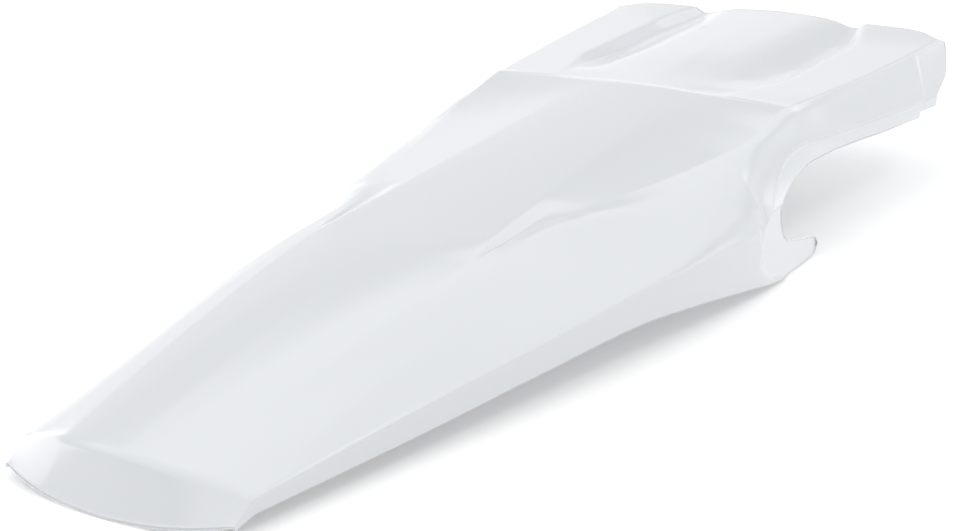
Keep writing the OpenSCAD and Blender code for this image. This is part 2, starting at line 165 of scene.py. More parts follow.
@dataclass(frozen=True)
class CharacterLines:
    """The lines that give the shell its form, as a clay modeller would tape them."""

    tail_half: float = 65.0
    tail_z: float = 22.5
    tail_corner_z: float = 13.0
    tail_x: float = 20.0
    tail_length: float = 183.0
    panel_length: float = 221.0
    root_z: float = 53.0
    root_half: float = 45.0
    root_body: float = 99.5
    flat_half: float = 31.0
    tip_step: float = 2.8
    crest_z: float = 73.6
    crest_half: float = 90.5
    crest_flare: float = 22.0
    shelf_length: float = 159.0
    shelf_half: float = 105.5
    shelf_flare: float = 13.0
    dome_rise: float = 3.0
    dome_half: float = 49.0
    gutter: float = 5.0
    pad_drop: float = 2.0
    hook_flare: float = 25.0
    hook_corner_z: float = 35.0
    arch_z: float = 15.8
    hook_back: float = 10.0
    notch_back: float = 51.0
    notch_low_z: float = 15.5
    notch_top_z: float = 47.5
    flange_z: float = 39.0
    tab_length: float = 34.0
    joggle: float = 2.2

    @property
    def root_x(self) -> float:
        """Where the tips of the raised panel start."""
        return self.tail_x + self.tail_length

    @property
    def crest_x(self) -> float:
        """Where the transverse crest runs."""
        return self.root_x + self.panel_length

    @property
    def front_x(self) -> float:
        """Front end of the seat shelf."""
        return self.crest_x + self.shelf_length

    @property
    def tab_x(self) -> float:
        """Where the front tab starts."""
        return self.front_x - self.tab_length

    @property
    def notch_x(self) -> float:
        """Rear end of the open notch above the hook."""
        return self.crest_x - self.notch_back

    @property
    def hook_half(self) -> float:
        """Half width at the side hooks."""
        return self.crest_half + self.hook_flare

    @property
    def hook_in(self) -> Array:
        """Low rear corner of the hook, seen from the side."""
        return np.array([self.notch_x - 4, 0.0])

    @property
    def wrap_a(self) -> float:
        """Station at which the lines start to fan round the hook."""
        return self.notch_x - 31.5

    @property
    def wrap_b(self) -> float:
        """Station at which they run straight across again."""
        return self.notch_x + 74

    @property
    def dome_z(self) -> float:
        """Height of the dome at the front end."""
        return self.crest_z + self.dome_rise

    @property
    def pad_z(self) -> float:
        """Height of the outer pads."""
        return self.crest_z - self.pad_drop

    def tail(self, k: float) -> float:
        """Place at a share of the tail."""
        return self.tail_x + k * self.tail_length

    def panel(self, k: float) -> float:
        """Place at a share of the raised panel."""
        return self.root_x + k * self.panel_length

    def run(self, k: float) -> float:
        """Place at a share of the way from the panel's tips to the hook."""
        return self.root_x + k * (self.hook_in[0] - self.root_x)

    def shelf(self, k: float) -> float:
        """Place at a share of the seat shelf."""
        return self.crest_x + k * self.shelf_length

    def mid_z(self, x: Array) -> Array:
        """Height of the middle line."""
        return along([(0, self.tail_z - 3.5), (self.tail_x - 7, self.tail_z),
                      (self.root_x - 15, self.root_z),
                      (self.panel(0.167), mix(self.root_z, self.crest_z, 0.235)),
                      (self.crest_x - 6, self.crest_z - 0.5), (self.crest_x, self.crest_z),
                      (self.crest_x + 5, self.crest_z - 0.5),
                      (self.crest_x + 22, self.crest_z - 0.2),
                      (self.shelf(0.478), mix(self.crest_z, self.dome_z, 0.62)),
                      (self.front_x + 8, self.dome_z)], x)

    def body_half(self, s: Array) -> Array:
        """Half width of the outer corner."""
        at_crest = self.crest_half + self.crest_flare
        return along([(self.tail_x, self.tail_half),
                      (self.tail(0.437), mix(self.tail_half, self.root_body, 0.43)),
                      (self.root_x, self.root_body),
                      (self.panel(0.235), mix(self.root_body, self.hook_half, 0.53)),
                      (self.panel(0.453), self.hook_half - 1.5),
                      (self.panel(0.62), self.hook_half + 0.5),
                      (self.crest_x, at_crest), (self.shelf(0.226), at_crest - 1.5),
                      (self.front_x, self.shelf_half + self.shelf_flare)], s)

    def corner_z(self, s: Array) -> Array:
        """Height of the outer corner."""
        return along([(self.tail_x, self.tail_corner_z),
                      (self.tail(0.437), mix(self.tail_corner_z, 28.5, 0.452)), (self.root_x, 28.5),
                      (self.panel(0.226), self.hook_corner_z - 2.5),
                      (self.panel(0.453), self.hook_corner_z - 0.8),
                      (self.panel(0.62), self.hook_corner_z),
                      (self.crest_x, self.hook_corner_z + 5),
                      (self.front_x, self.flange_z + 2)], s)

    def crown(self, s: Array, y: Array) -> Array:
        """How far the plain crowned body has dropped at y."""
        power = along([(self.tail_x, 2.6), (self.root_x, 3.1), (self.crest_x, 3.6)], s)
        return (self.mid_z(s) - self.corner_z(s)) * (y / self.body_half(s)) ** power

    def lower_z(self, s: Array) -> Array:
        """Height of the lower edge between the tail and the hook."""
        return along([(self.tail_x, 6.6), (self.tail(0.454), 9.2),
                      (self.tail(0.863), self.arch_z - 2.5),
                      (self.run(0.24), self.arch_z), (self.run(0.452), self.arch_z - 2.4),
                      (self.run(0.753), 6.6), (self.run(0.916), 1.8), (self.run(1), 0)], s)

    def line_x(self, s: Array, y: Array) -> Array:
        """Where the bowed line of station s lies at y."""
        bow = along([(self.tail_x, -8), (self.root_x, -15), (self.panel(0.407), -7),
                     (self.crest_x, 3.5), (self.shelf(0.377), 2), (self.front_x, 5)], s)
        half = along([(self.tail_x, self.tail_half), (self.root_x, self.root_half + 6),
                      (self.crest_x, self.crest_half)], s)
        return s + bow * (1 - np.minimum(1, (y / half) ** 2))

    def bend_y(self, s: Array) -> Array:
        """Half width of the raised panel, then of the foot of the dome."""
        return along([(self.tail_x, self.tail_half * 0.5), (self.root_x, self.root_half),
                      (self.root_x + 27, self.root_half - 3), (self.crest_x, self.flat_half),
                      (self.crest_x + 16, self.dome_half - 4), (self.shelf(0.308), self.dome_half),
                      (self.front_x - 35, self.dome_half), (self.front_x, self.dome_half - 3)], s)

    def foot_y(self, s: Array) -> Array:
        """Half width of the foot of the step beside it."""
        return along([(self.tail_x, self.tail_half * 0.58), (self.root_x, self.root_half + 1.2),
                      (self.root_x + 30, self.root_half + 2),
                      (self.panel(0.362), self.root_half + 2.5),
                      (self.crest_x, self.flat_half + 15), (self.crest_x + 18, self.dome_half + 6),
                      (self.shelf(0.327), self.dome_half + 10),
                      (self.front_x - 35, self.dome_half + 10),
                      (self.front_x, self.dome_half + 2)], s)

    def pad_y(self, s: Array) -> Array:
        """Half width of the inner edge of the outer pads."""
        return along([(self.tail_x, self.tail_half * 0.68), (self.root_x, self.root_half + 2.4),
                      (self.panel(0.19), self.root_half + 4.5),
                      (self.panel(0.48), self.root_half + 12),
                      (self.crest_x, self.flat_half + 27), (self.crest_x + 18, self.dome_half + 10),
                      (self.shelf(0.314), self.dome_half + 17),
                      (self.front_x - 35, self.dome_half + 17),
                      (self.front_x, self.dome_half + 7)], s)

    def flank_y(self, s: Array) -> Array:
        """Half width of the soft flank edge, then of the shelf."""
        return along([(self.tail_x, self.tail_half * 0.8), (self.tail(0.672), self.root_half + 12),
                      (self.root_x, self.root_half + 4), (self.panel(0.19), self.root_half + 7),
                      (self.panel(0.371), self.root_half + 18),
                      (self.panel(0.597), mix(self.root_half, self.crest_half, 0.725)),
                      (self.crest_x - 32, self.crest_half - 1), (self.crest_x, self.crest_half),
                      (self.shelf(0.176), self.crest_half + 4),
                      (self.front_x - 52, self.shelf_half - 2.5),
                      (self.front_x, self.shelf_half)], s)

    def mid_pad_y(self, s: Array) -> Array:
        """Half width of the middle of the flank, then of the outer pads."""
        behind = mix(self.pad_y(s), self.flank_y(s), 0.6)
        ahead = along([(self.crest_x, mix(self.flat_half + 27, self.crest_half, 0.6)),
                       (self.shelf(0.25), self.crest_half - 8),
                       (self.front_x, self.shelf_half - 16)], s)
        return np.where(s < self.crest_x, behind, ahead)

    def raised(self, s: Array) -> Array:
        """How far the raised panel has grown out of the crowned tail."""
        return ramp(self.root_x - 3, self.root_x + 26, s)

    def bend_z(self, s: Array, x: Array) -> Array:
        """Height of the bend line."""
        behind = self.mid_z(x) - mix(self.crown(s, self.bend_y(s)), 0.9, self.raised(s))
        drop = along([(self.crest_x, 0.9), (self.crest_x + 16, 1.6),
                      (self.shelf(0.308), self.gutter + 1),
                      (self.shelf(0.503), self.gutter + 3.4), (self.front_x - 35, self.gutter + 3),
                      (self.front_x, 5)], s)
        return np.where(s < self.crest_x, behind, self.mid_z(x) - drop)

    def step_z(self, s: Array) -> Array:
        """Height of the sharp step beside each tip of the raised panel."""
        grown = ramp(self.root_x - 2, self.root_x + 18, s)
        return self.tip_step * grown * (1 - ramp(self.root_x + 50, self.panel(0.46), s))

    def flank_z(self, s: Array, x: Array) -> Array:
        """Height of the soft flank edge, then of the shelf's outer edge."""
        drop = along([(self.panel(0.09), 3.3), (self.panel(0.19), 3.7), (self.panel(0.371), 5),
                      (self.panel(0.597), 7), (self.panel(0.72), 7.3), (self.crest_x - 30, 5.6),
                      (self.crest_x - 8, 2.8), (self.crest_x, 2.2)], s)
        behind = self.mid_z(x) - mix(self.crown(s, self.flank_y(s)), drop, self.raised(s))
        ahead = along([(self.crest_x, self.crest_z - 2.2), (self.crest_x + 7, self.pad_z - 0.8),
                       (self.shelf(0.377), self.pad_z - 0.8), (self.front_x, self.pad_z + 0.9)], s)
        return np.where(s < self.crest_x, behind, ahead)

    def foot_z(self, s: Array, x: Array) -> Array:
        """Height of the foot of the step."""
        bend, flank = self.bend_z(s, x), self.flank_z(s, x)
        share = (self.foot_y(s) - self.bend_y(s)) / (self.flank_y(s) - self.bend_y(s))
        stepped = np.minimum(mix(bend, flank, share), bend - self.step_z(s))
        behind = mix(self.mid_z(x) - self.crown(s, self.foot_y(s)), stepped, self.raised(s))
        ahead = bend - along([(self.crest_x, 0.4), (self.shelf(0.19), 0.6), (self.front_x, 0)], s)
        return np.where(s < self.crest_x, behind, ahead)

    def pad_in_z(self, s: Array, x: Array) -> Array:
        """Height of the inner edge of the outer pads."""
        foot, flank = self.foot_z(s, x), self.flank_z(s, x)
        share = (self.pad_y(s) - self.foot_y(s)) / (self.flank_y(s) - self.foot_y(s))
        behind = mix(self.mid_z(x) - self.crown(s, self.pad_y(s)), mix(foot, flank, share),
                     self.raised(s))
        ahead = along([(self.crest_x, self.crest_z - 1.3), (self.crest_x + 8, self.pad_z + 0.6),
                       (self.shelf(0.314), self.pad_z), (self.front_x - 35, self.pad_z + 0.8),
                       (self.front_x, self.pad_z + 3.2)], s)
        return np.where(s < self.crest_x, behind, ahead)

    def wall_y(self, x: Array, z: Array) -> Array:
        """Half width of the side wall at a point seen from the side."""
        s = np.minimum(x, self.front_x)
        half, corner = self.body_half(s), self.corner_z(s)
        top, top_z = self.flank_y(s), self.flank_z(s, s)
        above = mix(half, top, (z - corner) / np.maximum(1, top_z - corner))
        return np.where(z >= corner, above, half + (corner - z) * 0.07)

    def on_wall(self, p: Array) -> Array:
        """Puts points seen from the side onto the side wall."""
        return coords(p[..., 0], self.wall_y(p[..., 0], p[..., 1]), p[..., 1])

    def wall_in(self, p: Array, reach: float = 1.0) -> Array:
        """Direction into the shell at points of the side wall.

        Args:
            p: points on or near the wall.
            reach: how far above and below each point the wall's slope is measured.

        Returns:
            Unit steps inward.
        """
        above = self.wall_y(p[..., 0], p[..., 2] + reach)
        lean = above - self.wall_y(p[..., 0], p[..., 2] - reach)
        return unit(coords(np.zeros_like(lean), np.full_like(lean, -2 * reach), lean))


@dataclass(frozen=True)
class SideOutline:
    """Hook, notch and flange seen from the side, with the joggle line beside them."""

    lines: CharacterLines

    def edge_path(self) -> Array:
        """Lower edge from the hook's rear corner round the notch to the flange."""
        c = self.lines
        low = c.hook_in
        tip_x = c.crest_x - c.hook_back
        heel = np.array([tip_x - 5, 0.0])
        tip = np.array([tip_x, c.notch_low_z - 8])
        cove_low = np.array([c.notch_x, c.notch_low_z + 1.5])
        cove_high = np.array([c.notch_x, c.notch_top_z - 10])
        brow = np.array([c.notch_x + 36, c.notch_top_z - 0.5])
        end = np.array([c.wrap_b, c.notch_top_z - 2])
        points = [low]
        points += rounded_turn(low, heel, tip, 4, 5)
        points += rounded_turn(heel, tip, cove_low, 1.2, 4)
        points += rounded_turn(tip, cove_low, cove_high, 10, 12)
        points += rounded_turn(cove_low, cove_high, brow, 7.5, 10)
        points += rounded_turn(cove_high, brow, end, 18, 8)
        return np.array(points + [end])

    def step_arc(self) -> Array:
        """The joggle line where it falls down the hook."""
        c = self.lines
        return np.array([[c.notch_x - 28.5, 18.0], [c.notch_x - 25.0, 9.5],
                         [c.notch_x - 16.5, 3.2], c.hook_in])

    def joggle_path(self) -> Array:
        """The joggle line from the hook over the notch to the flange."""
        c = self.lines
        start = self.step_arc()[0] + [1, 0]
        turn = np.array([c.notch_x - 24, 31])
        over = np.array([c.notch_x + 2, c.notch_top_z - 4.5])
        level = np.array([c.notch_x + 38, c.notch_top_z + 9])
        end = np.array([c.wrap_b, c.notch_top_z + 4.5])
        points = [start]
        points += rounded_turn(start, turn, over, 9, 6)
        points += rounded_turn(turn, over, level, 12, 6)
        points += rounded_turn(over, level, end, 20, 10)
        return np.array(points + [end])

    @staticmethod
    def sample(path: Array, share: Array) -> Array:
        """Points at a share of a path's length.

        Args:
            path: points of the path.
            share: shares from 0 to 1.

        Returns:
            One point for each share.
        """
        reach = np.concatenate([[0], np.cumsum(np.linalg.norm(np.diff(path, axis=0), axis=1))])
        at = np.clip(share, 0, 1) * reach[-1]
        return coords(np.interp(at, reach, path[:, 0]), np.interp(at, reach, path[:, 1]))

    def edge_xz(self, s: Array) -> Array:
        """Lower edge of each station, seen from the side."""
        c = self.lines
        a, b = c.wrap_a, c.wrap_b
        tab_a, tab_b = c.tab_x - 20, c.tab_x - 12
        share = along([(a, 0), (a + 1.5, 0.01), (a + 4.5, 0.19), (a + 7, 0.25), (a + 14, 0.44),
                       (a + 18.5, 0.52), (a + 23, 0.58), (a + 46, 0.79), (b, 1)], s)
        x = along([(c.tail_x, c.tail_x), (c.run(0.36), c.run(0.36)), (a, c.hook_in[0])], s)
        skirt = coords(x, c.lower_z(x))
        front = coords(
            along([(b, b), (tab_a, tab_a + 7), (tab_b, tab_b + 1), (c.front_x, c.front_x - 27)], s),
            along([(b, c.notch_top_z - 2), (tab_a, c.flange_z), (tab_b, c.flange_z + 3.5),
                   (c.front_x, c.flange_z + 2.8)], s))
        wrapped = self.sample(self.edge_path(), share)
        return np.where((s <= a)[:, None], skirt, np.where((s < b)[:, None], wrapped, front))

    def joggle_xz(self, s: Array) -> Array:
        """Joggle line of each station past the hook, seen from the side."""
        c = self.lines
        a, b = c.wrap_a, c.wrap_b
        tab_a = c.tab_x - 20
        share = along([(a, 0), (a + 1.5, 0.002), (a + 7, 0.008), (a + 14, 0.02), (a + 18.5, 0.06),
                       (a + 23, 0.12), (a + 30, 0.27), (a + 46, 0.58), (b, 1)], s)
        front = coords(
            along([(b, b), (tab_a, tab_a + 4), (c.front_x, c.front_x - 23)], s),
            along([(b, c.notch_top_z + 4.5), (tab_a, c.flange_z + 8),
                   (c.front_x, c.flange_z + 7)], s))
        return np.where((s < b)[:, None], self.sample(self.joggle_path(), share), front)


@dataclass(frozen=True)
class ShellSections:
    """Half sections of the shell at each station, from the middle to the lower edge."""

    lines: CharacterLines = CharacterLines()
    wall: float = 2.6
    # step from the origin of the lines to the tail end on the floor
    lift: tuple[float, float, float] = (2.5, 0.0, 1.5)
    # faces on each flat between two control lines, and round each turn at one
    flat_steps: tuple[int, ...] = (5, 4, 1, 2, 2, 3, 3, 3, 7, 1, 1, 6)
    turn_steps: tuple[int, ...] = (4, 7, 6, 4, 5, 9, 6, 9, 4, 4)
    # rounded share of a soft turn, which leaves a little flat between two of them
    soft_share: float = 0.48
    # share of the tail lip below its rounding, and how far ahead of the crease that reaches
    lip_straight: float = 0.86
    crease_reach: float = 3.0
    # rows over which the lip's end stops moving in along X, and how far its corner sinks
    lip_fade_rows: int = 6
    lip_corner_sink: float = 0.6
    # least cosine a mitre is worked out with, and the height that gives a fanned wall's slope
    mitre_limit: float = 0.6
    fan_height: float = 8.0

    def controls(self, s: Array) -> Array:
        """Control points of the half section at each station.

        Args:
            s: stations along X.

        Returns:
            Thirteen points a station, in millimetres.
        """
        c, outline = self.lines, SideOutline(self.lines)
        far = ramp(c.front_x - 60, c.front_x, s)
        y1 = np.where(s < c.crest_x, c.bend_y(s) * 0.55,
                      along([(c.crest_x, c.flat_half * 0.55), (c.shelf(0.314), c.dome_half - 16),
                             (c.front_x, c.dome_half - 17)], s))
        x0, x1 = c.line_x(s, 0 * s), c.line_x(s, y1)
        x2, x3 = c.line_x(s, c.bend_y(s)), c.line_x(s, c.foot_y(s))
        x4, x5 = c.line_x(s, c.pad_y(s)), c.line_x(s, c.mid_pad_y(s)) + 4 * far
        x6 = c.line_x(s, c.flank_y(s)) - 6 * ramp(c.front_x - 14, c.front_x, s)
        v6 = coords(x6, c.flank_y(s), c.flank_z(s, x6))
        edge = outline.edge_xz(s)
        # behind the hook, the skirt's lines bend forward onto the arc of the joggle
        turn = ramp(c.run(0.48), c.wrap_a, s)
        skirt = along([(c.tail_x, 0), (c.root_x, 1)], s)[:, None]
        sx = s + 2 * turn
        before = (s <= c.wrap_a)[:, None]
        corner = coords(sx, c.corner_z(s))
        arc = outline.step_arc()
        start = np.array(c.wrap_a)
        foot = np.array([c.wrap_a + 2, float(c.corner_z(start))])
        down = [mix(corner, edge, mix(near, share, skirt))
                + (arc[k] - mix(foot, c.hook_in, share)) * turn[:, None]
                for k, (near, share) in enumerate([(0.58, 0.36), (0.76, 0.66), (0.89, 0.86)])]
        # from the hook on, the joggle opens into the flange between it and the lower edge
        joggle = np.where(before, down[0], outline.joggle_xz(s))
        j = c.on_wall(joggle)
        e = c.on_wall(edge)
        opened = ramp(c.wrap_a + 1.5, c.wrap_a + 4.5, s)[:, None]
        g = (1.8 / np.maximum(2, np.linalg.norm(e - j, axis=-1)))[:, None]
        j1 = np.where(before, down[1],
                      mix(arc[1] + [1.3, 0], mix(joggle, edge, g), opened))
        j2 = np.where(before, down[2],
                      mix(arc[2] + [1.3, 0.2], mix(joggle, edge, 0.5 + g / 2), opened))
        # ahead of the hook, the corner line runs between the joggle and the shelf's outer edge
        tab = ramp(c.front_x - 40, c.front_x, s)
        high = float(c.flank_z(start, start))
        begin = (c.wrap_a, (foot[1] - arc[0][1]) / (high - arc[0][1]))
        px = mix(j[:, 0], x6, along([begin, (c.wrap_a + 14, 0.28), (c.wrap_a + 23, 0.2),
                                     (c.wrap_a + 46, 0.3), (c.front_x, 0.3)], s))
        least = along([(c.wrap_a, 0.1), (c.wrap_a + 23, 0.2), (c.wrap_a + 46, 0.3),
                       (c.wrap_b, 0.3)], s)
        rise = np.maximum(0.001, v6[:, 2] - j[:, 2])
        pz = mix(j[:, 2], v6[:, 2], np.maximum(least, (c.corner_z(s) - j[:, 2]) / rise))
        shoulder = coords(px + 14 * tab, c.wall_y(px, pz), pz)
        plain = coords(sx, c.body_half(s), c.corner_z(s))
        outer = np.where(before, plain, shoulder)
        k = along([(c.tail_x, 0.45), (c.root_x, 0.3), (c.panel(0.18), 0.12), (c.panel(0.475), 0.4),
                   (c.panel(0.73), 0.45), (c.crest_x, 0.5), (c.front_x - 50, 0.45),
                   (c.front_x, 0.2)], s)
        # the wall between that edge and the corner is full, but follows the crown on the tail
        m = mix(v6, outer, k[:, None])
        m[:, 0] += 9 * tab
        low = np.where(s < c.crest_x,
                       c.raised(s) * (1 - ramp(c.panel(0.18), c.panel(0.5), s)), 0)
        free = np.where(s < c.panel(0.27), c.mid_z(m[:, 0]) - c.crown(s, m[:, 1]), m[:, 2])
        full = along([(c.panel(0.09), 2), (c.panel(0.36), 5.5), (c.panel(0.73), 5.5),
                      (c.crest_x - 20, 3), (c.crest_x + 20, 2.5), (c.front_x, 1)], s)
        m[:, 2] = mix(m[:, 2] + full, free, 1 - ramp(c.panel(0.09), c.panel(0.407), s)) - 0.5 * low
        dome = np.where(s < c.crest_x, mix(c.crown(s, y1), 0.25, c.raised(s)),
                        along([(c.crest_x, 0.25), (c.shelf(0.314), 0.9), (c.front_x, 0.9)], s))
        behind5 = mix(c.mid_z(x5) - c.crown(s, c.mid_pad_y(s)),
                      mix(c.pad_in_z(s, x4), v6[:, 2], 0.6), c.raised(s))
        ahead5 = mix(c.pad_in_z(s, x5), v6[:, 2], mix(0.6, 0.25, far))
        v = [coords(x0, 0 * s, c.mid_z(x0)),
             coords(x1, y1, c.mid_z(x1) - dome),
             coords(x2, c.bend_y(s), c.bend_z(s, x2)),
             coords(x3, c.foot_y(s), c.foot_z(s, x3)),
             coords(x4, c.pad_y(s), c.pad_in_z(s, x4)),
             coords(x5, c.mid_pad_y(s), np.where(s < c.crest_x, behind5, ahead5)),
             v6, m, outer, j, c.on_wall(j1), c.on_wall(j2), e]
        v = np.stack(v, 1)
        return self.stepped(s, v) + np.array(self.lift)

    def stepped(self, s: Array, v: Array) -> Array:
        """Sets the flange and the front tab one joggle inward.

        Args:
            s: stations along X.
            v: control points of each station.

        Returns:
            The control points with the joggle in them.
        """
        c = self.lines
        flange = c.joggle * ramp(c.wrap_a, c.wrap_a + 2.6, s)
        tab = c.joggle * ramp(c.tab_x - 1.5, c.tab_x + 1.5, s)
        depth = np.zeros(v.shape[:2])
        depth[:, FLANGE_LINE:] = np.maximum(flange, tab)[:, None]
        depth[:, CORNER_LINE:FLANGE_LINE] = tab[:, None]
        depth[:, CORNER_LINE - 1] = tab * 0.6
        return v + c.wall_in(v) * depth[..., None]

    def roundness(self, s: Array) -> Array:
        """How much of each side of a control point is rounded off.

        Args:
            s: stations along X.

        Returns:
            A share for control points 1 to 10 of each station.
        """
        c, soft = self.lines, self.soft_share
        p, q = c.raised(s), ramp(c.crest_x - 4, c.crest_x + 12, s)
        tip = p * (1 - 0.25 * ramp(c.panel(0.18), c.panel(0.63), s))
        one = np.ones_like(s)
        past = ramp(c.wrap_a - 4, c.wrap_a, s)
        shares = [one * soft, mix(mix(soft, 0.12, tip), 0.36, q), mix(mix(soft, 0.3, tip), 0.2, q),
                  mix(soft, 0.18, q), one * soft, mix(mix(soft, 0.1, p), 0.12, q),
                  mix(soft, 0.25, ramp(c.front_x - 40, c.front_x, s)),
                  along([(c.tail_x, 0.3), (c.wrap_a - 30, 0.3), (c.wrap_a, 0.42),
                         (c.wrap_a + 30, 0.5), (c.front_x - 40, soft), (c.front_x, 0.3)], s),
                  mix(0.4, 0.12, past), mix(0.4, 0.3, past)]
        return np.stack(shares, -1)

    def drawn(self, v: Array, r: Array) -> Array:
        """Rounds the control points into one smooth half section.

        Args:
            v: control points of each station.
            r: rounded share at control points 1 to 10.

        Returns:
            The points of each half section.
        """
        last = v.shape[1] - 1
        points = []
        for k in range(last):
            here, ahead = v[:, k], v[:, k + 1]
            begin = mix(here, ahead, r[:, k - 1, None]) if 1 <= k <= r.shape[1] else here
            end = mix(ahead, here, r[:, k, None]) if k + 1 <= r.shape[1] else ahead
            steps = self.flat_steps[k]
            points += [mix(begin, end, i / steps) for i in range(steps)]
            if k + 1 <= r.shape[1]:
                after = mix(ahead, v[:, k + 2], r[:, k, None])
                count = self.turn_steps[k]
                points += [curve(end, ahead, after, i / count) for i in range(count)]
        points.append(v[:, last])
        return np.stack(points, 1)

    def stations(self) -> Array:
        """Places of the sections, close together where the form turns quickly."""
        c = self.lines
        spans = [(c.tail_x + self.crease_reach, c.tail_x + 40, 10),
                 (c.tail_x + 40, c.root_x - 22, 26),
                 (c.root_x - 22, c.root_x + 42, 36), (c.root_x + 42, c.wrap_a, 22),
                 (c.wrap_a, c.wrap_a + 1.5, 1), (c.wrap_a + 1.5, c.wrap_a + 4.5, 8),
                 (c.wrap_a + 4.5, c.wrap_a + 7, 4), (c.wrap_a + 7, c.wrap_a + 14, 5),
                 (c.wrap_a + 14, c.wrap_a + 23, 8), (c.wrap_a + 23, c.wrap_a + 46, 15),
                 (c.wrap_a + 46, c.crest_x - 4, 14), (c.crest_x - 4, c.crest_x + 11, 18),
                 (c.crest_x + 11, c.crest_x + 46, 14), (c.crest_x + 46, c.front_x - 56, 13),
                 (c.front_x - 56, c.front_x - 28, 20), (c.front_x - 28, c.front_x, 12)]
        rows = [np.linspace(a, b, count, endpoint=False) for a, b, count in spans]
        return np.concatenate(rows + [[c.front_x]])

    def skin_z(self, x: float, y: float) -> float:
        """Height of the show face above a place under the shell.

        Args:
            x: distance from the tail end.
            y: distance from the mid-plane.

        Returns:
            The height in millimetres.
        """
        v = self.controls(np.array([x - self.lift[0]]))[0, :SHELF_LINE + 1]
        return float(np.interp(y, v[:, 1], v[:, 2]))

    def tail_lip(self, crease: Array, after: Array) -> Array:
        """Control rows of the lip that is turned down at the tail.

        Args:
            crease: control points at the tail crease.
            after: control points of the station just ahead of it.

        Returns:
            Rows from the lip's lower edge to just behind the first station.
        """
        c = self.lines
        t = np.minimum(1, crease[:, 1] / c.tail_half)
        under = 0.25 * np.maximum(0, c.tail_corner_z + self.lift[2] - crease[:, 2])
        low = coords((c.tail_x - 9.5) * t ** 2.4, crease[:, 1] * (1 - 0.02 * t),
                     6.4 * t ** 1.7 - under)
        face = [mix(low, crease, k) for k in np.linspace(0, self.lip_straight, 10)]
        bend = [curve(face[-1], crease, after, k) for k in np.linspace(0, 1, 7)[1:-1]]
        return np.stack(face + bend)

    def surface(self, depth: float) -> Array:
        """One face of the shell.

        Args:
            depth: how far below the show face it lies.

        Returns:
            Points by row from the tail forward and by column from the left edge to the right.
        """
        s = self.stations()
        c = self.lines
        ends = np.array([c.tail_x, c.tail_x + self.crease_reach])
        v = self.controls(s)
        edge = self.controls(ends)
        v = np.concatenate([self.tail_lip(edge[0], edge[1]), v])
        r = self.roundness(s)
        r = np.concatenate([np.repeat(r[:1], len(v) - len(s), 0), r])
        if depth:
            v = v + self.offset(v, s) * depth
        half = self.drawn(v, r)
        right = half[:, 1:] * [1, -1, 1]
        return np.concatenate([half[:, :0:-1], half[:, :1], right], 1)

    def offset(self, v: Array, s: Array) -> Array:
        """Steps from each control point to a face one unit further in, mitred at the corners.

        Args:
            v: control points of each half section, the rows of the tail lip first.
            s: stations of the rows after the lip.

        Returns:
            A step for each control point.
        """
        run = np.gradient(v, axis=0)
        middle = v[:, 1:2] * [1, -1, 1]
        across = np.diff(np.concatenate([middle, v], 1), axis=1)
        ahead = (run[:, 1:] + run[:, :-1]) / 2
        ahead = np.concatenate([run[:, :1] * [1, 0, 1], ahead], 1)
        face = unit(np.cross(across, ahead))
        lip_rows = len(v) - len(s)
        # where the rows fan out from the hook, and at the tab's step, the inner face keeps
        # straight behind the outer one
        c = self.lines
        side = (v[lip_rows:, CORNER_LINE:] + v[lip_rows:, CORNER_LINE - 1:-1]) / 2
        plain = c.wall_in(side, self.fan_height)
        fanned = ramp(c.wrap_a - 2, c.wrap_a - 1, s) * (1 - ramp(c.wrap_a + 30, c.wrap_a + 60, s))
        fanned += ramp(c.tab_x - 8, c.tab_x - 4, s) * (1 - ramp(c.tab_x + 4, c.tab_x + 8, s))
        curved = face[lip_rows:, CORNER_LINE:]
        face[lip_rows:, CORNER_LINE:] = unit(mix(curved, plain, fanned[:, None, None]))
        face = np.concatenate([face, face[:, -1:]], 1)
        turn = unit(face[:, 1:] + face[:, :-1])
        lean = np.sum(turn * face[:, 1:], -1, keepdims=True)
        step = turn / np.maximum(lean, self.mitre_limit)
        # where the lip meets the skirt, it moves in along both X and Y
        fade = np.clip((lip_rows - np.arange(lip_rows)) / self.lip_fade_rows, 0, 1)
        step[:lip_rows, CORNER_LINE:] = [1, -1, 0]
        step[:lip_rows, CORNER_LINE:, 0] = fade[:, None]
        step[:lip_rows, CORNER_LINE, 2] = -self.lip_corner_sink
        return step


